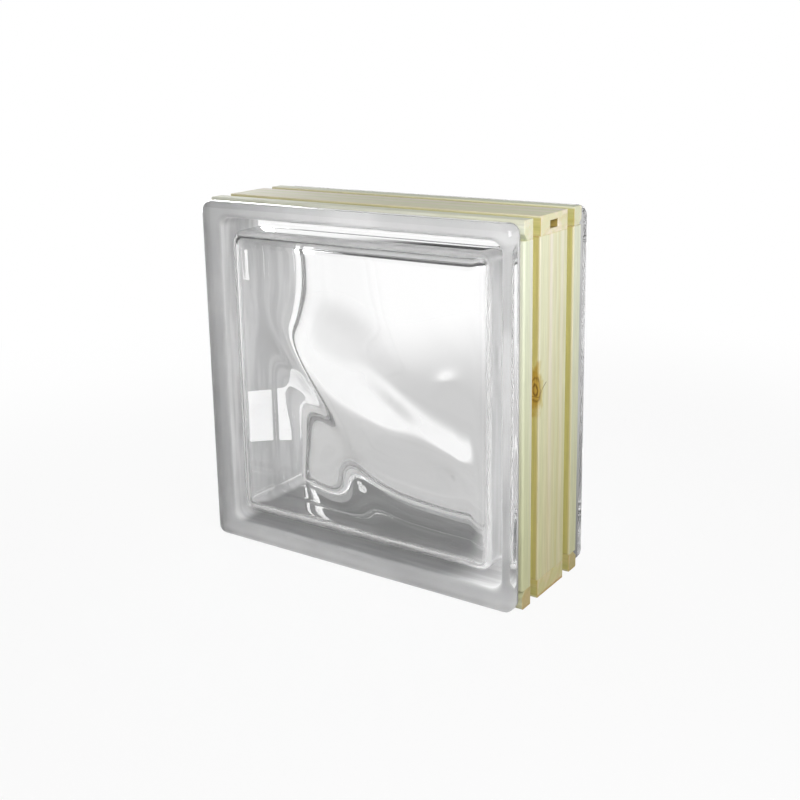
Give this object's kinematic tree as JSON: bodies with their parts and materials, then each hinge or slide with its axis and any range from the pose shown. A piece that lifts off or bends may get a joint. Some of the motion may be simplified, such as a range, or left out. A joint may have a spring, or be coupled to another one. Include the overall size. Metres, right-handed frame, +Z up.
{
  "type": "wood-framed glass block",
  "caption": "Clear hollow glass block with soft cloud waves pressed inside, set in a grooved pine edge frame for dry-assembled glass walls.",
  "frame": {"origin": "middle of the underside of the bottom rail, under the middle of the block", "axes": "+X to the right along the front face, front glass face looks along -Y, +Z up as it stands in a wall"},
  "size_m": [0.1916, 0.08, 0.1916],
  "materials": {
    "glass": "clear, fire-polished, very slightly grey",
    "pine": "planed pine, untreated"
  },
  "bodies": {
    "root": {"glass_half_front": "glass", "glass_half_back": "glass", "top_rail": "pine", "bottom_rail": "pine", "left_stile": "pine", "right_stile": "pine"}
  },
  "joints": []
}
